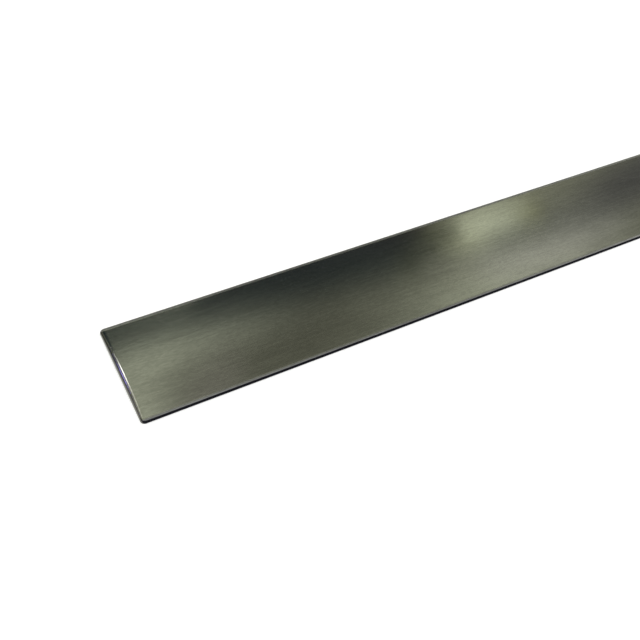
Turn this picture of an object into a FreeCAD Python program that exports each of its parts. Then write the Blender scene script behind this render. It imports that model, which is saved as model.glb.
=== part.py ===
import FreeCAD, Part
import os

# Stainless steel transition strip: one piece of solid, rolled flat stock that covers the joint
# between two floors. It lies on its flat underside. +X runs along the strip, +Y across it and
# +Z up; the origin is at the middle of the underside.

# Sizes in millimetres
strip_length = 900.0        # as sold, the usual width of a doorway
strip_width = 40.0
edge_thickness = 1.2        # at the two long sides
crown_rise = 0.7            # how much the top rises from the long sides to the middle
corner_radius = 1.4         # dressed corners, seen from above
side_arris_radius = 0.6     # rounded top edge along the long sides
end_arris_radius = 1.05     # rounded top edge across the cut ends
foot_radius = 0.15          # rounded edge of the underside, all the way round

middle_thickness = edge_thickness + crown_rise
half_length = strip_length / 2
half_width = strip_width / 2
vector = FreeCAD.Vector

# Cross-section: flat underside, upright sides and a shallow arc for the top
left_foot = vector(-half_length, -half_width, 0)
right_foot = vector(-half_length, half_width, 0)
left_shoulder = vector(-half_length, -half_width, edge_thickness)
right_shoulder = vector(-half_length, half_width, edge_thickness)
crown = vector(-half_length, 0, middle_thickness)
underside = Part.makeLine(left_foot, right_foot)
right_side = Part.makeLine(right_foot, right_shoulder)
top_arc = Part.Arc(right_shoulder, crown, left_shoulder)
arc_start = top_arc.FirstParameter
arc_end = top_arc.LastParameter
arc_middle = (arc_start + arc_end) / 2
right_arc = top_arc.toShape(arc_start, arc_middle)
left_arc = top_arc.toShape(arc_middle, arc_end)
left_side = Part.makeLine(left_shoulder, left_foot)
section = Part.Face(Part.Wire([underside, right_side, right_arc, left_arc, left_side]))
strip = section.extrude(vector(strip_length, 0, 0))

# The four upright corners are rounded off so that they don't catch
upright_edges = []
for edge in strip.Edges:
    box = edge.BoundBox
    if box.XLength < corner_radius and box.YLength < corner_radius:
        upright_edges.append(edge)
strip = strip.makeFillet(corner_radius, upright_edges)

# The top edge is rounded in one run. The cut ends are rounded over more than the long sides,
# and the radius changes evenly round each corner
def arris_radius_at(corner):
    on_long_side = abs(corner.Y) > half_width - corner_radius / 2
    return side_arris_radius if on_long_side else end_arris_radius


rounding = FreeCAD.newDocument("rounding")
blank = rounding.addObject("Part::Feature", "blank")
blank.Shape = strip
rim = rounding.addObject("Part::Fillet", "rim")
rim.Base = blank
round_corners = []
straight_runs = []
for number, edge in enumerate(strip.Edges, 1):
    box = edge.BoundBox
    over_foot = box.ZMin > edge_thickness / 2
    at_the_rim = box.YLength > corner_radius or abs(box.Center.y) > corner_radius
    if over_foot and at_the_rim:
        start, end = edge.Vertexes
        first_radius = arris_radius_at(start)
        last_radius = arris_radius_at(end)
        alike = first_radius == last_radius
        kind = straight_runs if alike else round_corners
        kind.append((number, first_radius, last_radius))
# The run starts and closes at a corner, so the corners come first
rim.Edges = round_corners + straight_runs
rounding.recompute()
strip = rim.Shape

# The edge of the underside is rounded too, so only the flat between touches the floors
foot_edges = []
for edge in strip.Edges:
    if edge.BoundBox.ZMax < foot_radius / 2:
        foot_edges.append(edge)
strip = strip.makeFillet(foot_radius, foot_edges)

# Write the piece
os.makedirs("parts", exist_ok=True)
strip.exportStep("parts/transition_strip.step")
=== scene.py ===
import bmesh
import bpy
import math
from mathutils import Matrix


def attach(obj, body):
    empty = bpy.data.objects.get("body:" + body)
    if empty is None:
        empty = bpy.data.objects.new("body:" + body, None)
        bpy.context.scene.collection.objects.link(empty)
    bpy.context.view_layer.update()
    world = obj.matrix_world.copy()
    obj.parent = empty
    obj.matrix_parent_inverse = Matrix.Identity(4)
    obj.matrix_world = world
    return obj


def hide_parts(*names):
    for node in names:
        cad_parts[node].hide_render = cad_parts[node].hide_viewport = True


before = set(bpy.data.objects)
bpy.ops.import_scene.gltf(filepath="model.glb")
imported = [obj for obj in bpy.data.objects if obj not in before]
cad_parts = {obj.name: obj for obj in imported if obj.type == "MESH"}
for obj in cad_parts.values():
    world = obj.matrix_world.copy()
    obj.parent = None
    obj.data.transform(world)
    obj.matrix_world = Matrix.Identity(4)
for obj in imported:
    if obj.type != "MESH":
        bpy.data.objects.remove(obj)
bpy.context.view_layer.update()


# Transition strip: one length of solid stainless flat stock, rolled with a slightly domed
# top. Its corners and top edge are rounded over and it was brushed lengthwise on a belt. The
# low edge of its long sides and ends is painted dark: painted shade for the floor it mirrors.
class Value:
    """A number that travels between shader nodes."""

    def __init__(self, tree, socket):
        self.tree = tree
        self.socket = socket

    def math(self, operation, other=0.0, swapped=False):
        node = self.tree.nodes.new("ShaderNodeMath")
        node.operation = operation
        terms = (other, self) if swapped else (self, other)
        for slot, term in zip(node.inputs, terms):
            if isinstance(term, Value):
                self.tree.links.new(term.socket, slot)
            else:
                slot.default_value = term
        return Value(self.tree, node.outputs[0])

    def __add__(self, other):
        return self.math("ADD", other)

    def __radd__(self, other):
        return self.math("ADD", other, swapped=True)

    def __sub__(self, other):
        return self.math("SUBTRACT", other)

    def __rsub__(self, other):
        return self.math("SUBTRACT", other, swapped=True)

    def __mul__(self, other):
        return self.math("MULTIPLY", other)

    def __rmul__(self, other):
        return self.math("MULTIPLY", other, swapped=True)


class Shader:
    """A new node tree, whose nodes are all made by one method."""

    def __init__(self, owner):
        owner.use_nodes = True
        self.tree = owner.node_tree
        self.tree.nodes.clear()

    def node(self, kind, settings=None, **sockets):
        """Sockets go by their names, or by _ and their number where names repeat."""
        made = self.tree.nodes.new("ShaderNode" + kind)
        for name, setting in (settings or {}).items():
            setattr(made, name, setting)
        for name, term in sockets.items():
            numbered = name.startswith("_")
            slot = made.inputs[int(name[1:]) if numbered else name.replace("_", " ")]
            if isinstance(term, Value):
                term = term.socket
            if isinstance(term, bpy.types.NodeSocket):
                self.tree.links.new(term, slot)
            else:
                slot.default_value = term
        return made

    def value(self, made, output=0):
        return Value(self.tree, made.outputs[output])

    def ease(self, value, low, high):
        """0 below low, 1 above high and a soft step between them."""
        return self.value(self.node("MapRange", {"interpolation_type": "SMOOTHSTEP"},
                                    Value=value, From_Min=low, From_Max=high))

    def blend(self, share, first, second):
        """One colour turning into another as share goes from 0 to 1."""
        mixed = self.node("Mix", {"data_type": "RGBA"}, _0=share, _6=first, _7=second)
        return mixed.outputs[2]


strip_length = 0.9
strip_width = 0.04
edge_thickness = 0.0012
crown_rise = 0.0007
corner_radius = 0.0014
side_arris_radius = 0.0006
end_arris_radius = 0.00105
foot_radius = 0.00015
half_length = strip_length / 2
half_width = strip_width / 2

form = bmesh.new()
bmesh.ops.create_cube(form, size=1.0)
bmesh.ops.scale(form, vec=(strip_length, strip_width, edge_thickness), verts=form.verts)
bmesh.ops.translate(form, vec=(0, 0, edge_thickness / 2), verts=form.verts)
same_level = foot_radius / 10
same_place = foot_radius / 50
on_the_cut = 1e-7


def round_over(edges, radius, segments):
    bmesh.ops.bevel(form, geom=edges, offset=radius, offset_type="OFFSET", segments=segments,
                    profile=0.5, affect="EDGES", material=-1, clamp_overlap=False)


def rim_at(height):
    """The edges that run right round the strip at one height."""
    return [edge for edge in form.edges
            if all(abs(corner.co.z - height) < same_level for corner in edge.verts)]


def climb(edge):
    return abs(edge.verts[0].co.z - edge.verts[1].co.z)


wide_rounding_segments = 10
foot_rounding_segments = 5
upright = [edge for edge in form.edges if climb(edge) > foot_radius]
round_over(upright, corner_radius, wide_rounding_segments)
round_over(rim_at(edge_thickness), side_arris_radius, wide_rounding_segments)
round_over(rim_at(0.0), foot_radius, foot_rounding_segments)

# The flat top is parted lengthwise so that it can take the dome, and across near its ends
bands = 24
rim_inside = side_arris_radius * 1.1
end_zone = corner_radius * 2
end_zone_border = end_zone * 1.5
cuts = [((0, half_width * (2 * band / bands - 1), 0), (0, 1, 0)) for band in range(1, bands)]
for side in (-1, 1):
    cuts += [((0, side * (half_width - inset), 0), (0, 1, 0))
             for inset in (rim_inside, corner_radius)]
    cuts += [((side * (half_length - inset), 0, 0), (1, 0, 0))
             for inset in (rim_inside, corner_radius, end_zone, end_zone_border)]
for cut_through, across in cuts:
    whole = form.verts[:] + form.edges[:] + form.faces[:]
    bmesh.ops.bisect_plane(form, geom=whole, dist=on_the_cut, plane_co=cut_through,
                           plane_no=across)
bmesh.ops.remove_doubles(form, verts=form.verts, dist=same_place)


def widened(inset, radius, new_radius, zone):
    """How far in a point of a rounding comes to lie when its radius grows inside a zone."""
    if inset < radius:
        return inset * new_radius / radius
    return new_radius + (inset - radius) * (zone - new_radius) / (zone - radius)


# The dome lifts the top. The cut ends are rounded over more than the long sides, with an
# even change round each corner, and most of all in the middle, where the strip is thickest
middle_swell = 0.5
foot_top = foot_radius * 1.01
corner_x = half_length - corner_radius
corner_y = half_width - corner_radius
for corner in form.verts:
    x, y, z = corner.co
    if z < foot_top:
        continue
    depth = edge_thickness - z
    past_x = max(0.0, abs(x) - corner_x)
    past_y = max(0.0, abs(y) - corner_y)
    reach = math.hypot(past_x, past_y)
    if reach > 0.0:
        turn = math.atan2(past_x, past_y) / (math.pi / 2)
        ease = turn * turn * (3 - 2 * turn)
        radius = side_arris_radius + ease * (end_arris_radius - side_arris_radius)
        depth *= radius / side_arris_radius
        inset = widened(corner_radius - reach, side_arris_radius, radius, corner_radius)
        drawn_in = (corner_radius - inset) / reach
        x = math.copysign(corner_x + past_x * drawn_in, x) if past_x else x
        y = math.copysign(corner_y + past_y * drawn_in, y) if past_y else y
    from_end = half_length - abs(x)
    if from_end < end_zone:
        swell = 1 + middle_swell * (1 - (min(abs(y), corner_y) / corner_y) ** 2)
        if from_end < end_arris_radius:
            depth *= swell
        from_end = widened(from_end, end_arris_radius, end_arris_radius * swell, end_zone)
        x = math.copysign(half_length - from_end, x)
    out_from_middle = min(abs(y), half_width - side_arris_radius)
    dome = crown_rise * (1 - (out_from_middle / half_width) ** 2)
    corner.co = (x, y, edge_thickness + dome - depth)
for face in form.faces:
    face.smooth = True
bmesh.ops.recalc_face_normals(form, faces=form.faces)
strip_mesh = bpy.data.meshes.new("brushed_strip")
form.to_mesh(strip_mesh)
form.free()

# The texture space is set so that the gloss spreads across the brushing all over the strip
strip_mesh.use_auto_texspace = False
strip_mesh.texspace_location = (-1.0, 0.0, 0.0)
strip_mesh.texspace_size = (1.0, 100.0, 1.0)

strip = bpy.data.objects.new("brushed_strip", strip_mesh)
bpy.context.collection.objects.link(strip)

bright_steel_colour = (0.57, 0.57, 0.57, 1.0)
dull_steel_colour = (0.44, 0.44, 0.44, 1.0)
# These two are painted shade, not the steel's own colour: near black low on the sides, paler
# grey low on the ends
side_painted_shade_colour = (0.012, 0.012, 0.016, 1.0)
end_painted_shade_colour = (0.16, 0.16, 0.14, 1.0)

steel = bpy.data.materials.new("brushed_stainless")
look = Shader(steel)
position = look.node("TexCoord").outputs["Object"]


def brushing(along, across):
    """Streaks along the strip: how many there are to a metre, along it and across it."""
    stretched = look.node("Mapping", Vector=position, Scale=(along, across, across))
    return look.value(look.node("TexNoise", Vector=stretched.outputs[0], Scale=1.0,
                                Detail=2.0, Roughness=0.6))


# The brushing is five layers of streaks, each with its share in how bright the steel is
hairlines = brushing(60.0, 7000.0)
fine_grain = brushing(700.0, 1900.0)
long_streaks = brushing(80.0, 1000.0)
mottling = brushing(90.0, 220.0)
clouds = brushing(14.0, 50.0)
streaks = (hairlines * 0.2 + fine_grain * 0.32 + long_streaks * 0.18 + mottling * 0.17
           + clouds * 0.13)
dullest_streak = 0.39
brightest_streak = 0.61
brushed = look.ease(streaks, dullest_streak, brightest_streak)
steel_shade = look.blend(brushed, dull_steel_colour, bright_steel_colour)

where = look.node("SeparateXYZ", Vector=position)
lengthwise, crosswise, upwards = (look.value(where, axis) for axis in range(3))
from_middle = lengthwise.math("ABSOLUTE")
from_centre_line = crosswise.math("ABSOLUTE")


def near(distance, border, start, full):
    """0 further in from a border than start, 1 nearer to it than full."""
    return look.ease(distance, border - start, border - full)


# Painted shade: the sides are painted dark up to the shoulder, given as shares of the
# thickness, for the shadowed floor that they mirror, and so are the ends, in a paler grey
shade_up_to = 0.8
shoulder = 0.93
out = from_centre_line * (1 / half_width)
thickness_here = edge_thickness + crown_rise * (1 - out * out)
low_down = 1 - look.ease(upwards.math("DIVIDE", thickness_here), shade_up_to, shoulder)
near_end = near(from_middle, half_length, start=0.002, full=0.0015)
near_side = near(from_centre_line, half_width, start=0.001, full=0.0007)
painted_shade = low_down * near_end.math("MAXIMUM", near_side)
# Where the paler painted shade of the ends takes over from the darker one of the sides
end_face = near(from_middle, half_length, start=0.0006, full=0.0001)
painted_shade_colour = look.blend(end_face, side_painted_shade_colour, end_painted_shade_colour)
shade = look.blend(painted_shade, steel_shade, painted_shade_colour)
metal = 1 - painted_shade * (1 - near_end)

# The edges along the sides are rubbed rougher, one more than the other, and the ends smoother
brushed_roughness = 0.138
hairline_roughness = 0.06
more_rubbed_side = 0.504
less_rubbed_side = 0.306
end_polish = 0.07
more_rubbed = near(crosswise, half_width, start=0.0018, full=0.0007)
less_rubbed = near(0 - crosswise, half_width, start=0.0011, full=0.0003)
polished = near(from_middle, half_length, start=0.0018, full=0.001)
roughness = (brushed_roughness - polished * end_polish + (hairlines - 0.5) * hairline_roughness
             + more_rubbed * more_rubbed_side + less_rubbed * less_rubbed_side)
bump = look.node("Bump", Height=hairlines, Strength=0.05, Distance=0.00001)
finish = look.node("BsdfPrincipled", Base_Color=shade, Metallic=metal, Specular_IOR_Level=0.0,
                   Roughness=roughness, Anisotropic=0.91, Normal=bump.outputs[0])
look.node("OutputMaterial", Surface=finish.outputs[0])
strip_mesh.materials.append(steel)
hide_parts("transition_strip")
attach(strip, "root")


# Floor: a plain white sheet on a table, on which the strip lies for its picture. It
# stays white in the picture and in the steel, and it takes the strip's shadow.
sheet_reach = 4.0
sheet_form = bmesh.new()
bmesh.ops.create_grid(sheet_form, x_segments=1, y_segments=1, size=sheet_reach)
sheet_mesh = bpy.data.meshes.new("white_sheet")
sheet_form.to_mesh(sheet_mesh)
sheet_form.free()
sheet = bpy.data.objects.new("white_sheet", sheet_mesh)
bpy.context.collection.objects.link(sheet)

paper_colour = (0.9, 0.9, 0.9, 1.0)
white_light = (1.0, 1.0, 1.0, 1.0)
paper_glow = 0.25
white = bpy.data.materials.new("white_sheet")
paper = Shader(white)
matt = paper.node("BsdfDiffuse", Color=paper_colour)
rays = paper.node("LightPath")
seen = (paper.value(rays, "Is Camera Ray") + paper.value(rays, "Is Glossy Ray")
        + paper.value(rays, "Is Transmission Ray"))
glow = paper.node("Emission", Color=white_light, Strength=seen * paper_glow)
both = paper.node("AddShader", _0=matt.outputs[0], _1=glow.outputs[0])
paper.node("OutputMaterial", Surface=both.outputs[0])
sheet_mesh.materials.append(white)


# Room: what the steel mirrors, while the camera sees plain white. Its walls are dim and
# pale with height, and softly lit and dark places on them show as broad patches in the
# brushed top. Directions are in degrees, as a bearing to the right and a height.
world = bpy.data.worlds.new("room")
bpy.context.scene.world = world
room = Shader(world)
facing = room.node("SeparateXYZ", Vector=room.node("TexCoord").outputs["Generated"])
right, ahead, up = (room.value(facing, axis) for axis in range(3))
bearing = right.math("ARCTAN2", ahead) * math.degrees(1)
height = up.math("ARCSINE") * math.degrees(1)
turned = bearing.math("ABSOLUTE")

wall_low_colour = (0.268, 0.275, 0.194, 1.0)
wall_high_colour = (0.504, 0.531, 0.383, 1.0)
side_wall_colour = (0.3, 0.3, 0.29, 1.0)
ceiling_colour = (0.36, 0.36, 0.35, 1.0)
walls = room.blend(room.ease(height, 39.3, 45.3), wall_low_colour, wall_high_colour)
walls = room.blend(room.ease(turned, 62.0, 80.0), walls, side_wall_colour)

# Each place by its bearing and height, its half width and half height, how much of it its
# soft border takes, and its colour. First come those that the top mirrors, then those for
# the rounded end on the left, and at last the two pale ones at the sides
soft_places = (
    (39.37, 31.37, 6.92, 1.85, 0.61, (1.539, 1.544, 0.45)),
    (48.96, 37.24, 9.23, 6.52, 0.86, (0.739, 0.741, 0.613)),
    (16.77, 49.31, 11.88, 44.98, 1.0, (1.55, 1.652, 1.208)),
    (23.57, 13.03, 13.25, 30.75, 0.27, (0.036, 0.027, 0.032)),
    (25.09, 51.33, 27.9, 14.83, 1.0, (0.116, 0.117, 0.082)),
    (52.46, 27.69, 7.55, 9.79, 1.0, (0.079, 0.078, 0.079)),
    (19.24, 67.34, 6.82, 24.16, 1.0, (0.233, 0.222, 0.182)),
    (9.92, 35.1, 50.0, 7.87, 0.57, (0.02, 0.03, 0.031)),
    (39.97, 31.89, 5.46, 4.41, 0.88, (0.928, 0.987, 0.686)),
    (36.63, 35.37, 2.6, 5.18, 0.17, (0.04, 0.048, 0.031)),
    (39.99, 38.83, 3.1, 1.01, 0.53, (0.381, 0.386, 0.305)),
    (40.1, 35.23, 3.07, 1.51, 1.0, (0.77, 0.805, 0.489)),
    (-19.0, 48.0, 14.0, 6.0, 1.0, (1.1, 1.07, 0.95)),
    (-30.0, 12.0, 15.0, 18.0, 1.0, (0.03, 0.03, 0.03)),
    (-47.0, 14.0, 4.5, 18.0, 1.0, (1.1, 1.05, 0.95)),
    (-41.0, 22.5, 1.7, 4.5, 1.0, (4.4, 3.6, 11.0)),
    (-19.0, 41.9, 6.5, 2.1, 1.0, (10.0, 10.0, 9.7)),
    (-100.0, 32.0, 26.0, 24.0, 1.0, (0.95, 0.96, 0.9)),
    (96.0, 30.0, 24.0, 26.0, 1.0, (1.0, 1.0, 0.92)))
for place_bearing, place_height, half_across, half_tall, border, place_colour in soft_places:
    off_side = (bearing - place_bearing) * (1 / half_across)
    off_height = (height - place_height) * (1 / half_tall)
    inside = room.ease(1 - off_side * off_side - off_height * off_height, 0.0, border)
    walls = room.blend(inside, walls, (*place_colour, 1.0))
walls = room.blend(room.ease(height, 64.0, 82.0), walls, ceiling_colour)

# The wall behind the camera is bright low down and dim high up, with a dark doorway in it
# on either side
back_low_colour = (0.78, 0.79, 0.76, 1.0)
back_high_colour = (0.23, 0.23, 0.24, 1.0)
doorway_colour = (0.08, 0.08, 0.08, 1.0)
doorway_darkness = 0.8
behind = room.ease(0 - ahead, 0.15, 0.5)
doorway = room.ease(turned, 128.0, 146.0) - room.ease(turned, 154.0, 172.0)
back_wall = room.blend(room.ease(height, 15.0, 58.0), back_low_colour, back_high_colour)
back_wall = room.blend(doorway * doorway_darkness, back_wall, doorway_colour)
walls = room.blend(behind, walls, back_wall)
camera_ray = room.value(room.node("LightPath"), "Is Camera Ray")
surroundings = room.node("Background", Color=room.blend(camera_ray, walls, white_light),
                         Strength=1.0)
room.node("OutputWorld", Surface=surroundings.outputs[0])


# Lamp: even, soft light from straight above, which the metal doesn't mirror.
daylight = bpy.data.lights.new("daylight", "SUN")
daylight.angle = math.radians(70)
daylight.energy = 1.9
daylight_body = bpy.data.objects.new("daylight", daylight)
daylight_body.location = (0.0, 0.0, 2.0)
daylight_body.visible_glossy = False
daylight_body.visible_camera = False
bpy.context.collection.objects.link(daylight_body)


# Camera: it looks down along the strip from near its left end. Its focal length was worked
# out in pixels of a picture 640 wide.
view_pitch = math.radians(42.65)
view_yaw = math.radians(27.737)
focal_pixels = 779.0
picture_width = 640
film_width = 36.0
camera = bpy.data.cameras.new("camera")
camera.sensor_width = film_width
camera.lens = focal_pixels / picture_width * film_width
camera.clip_start = 0.005
eye = bpy.data.objects.new("camera", camera)
eye.location = (-0.46989, -0.158588, 0.159229)
eye.rotation_euler = (math.pi / 2 - view_pitch, 0.0, -view_yaw)
bpy.context.collection.objects.link(eye)
bpy.context.scene.camera = eye
bpy.context.scene.view_settings.view_transform = "Standard"
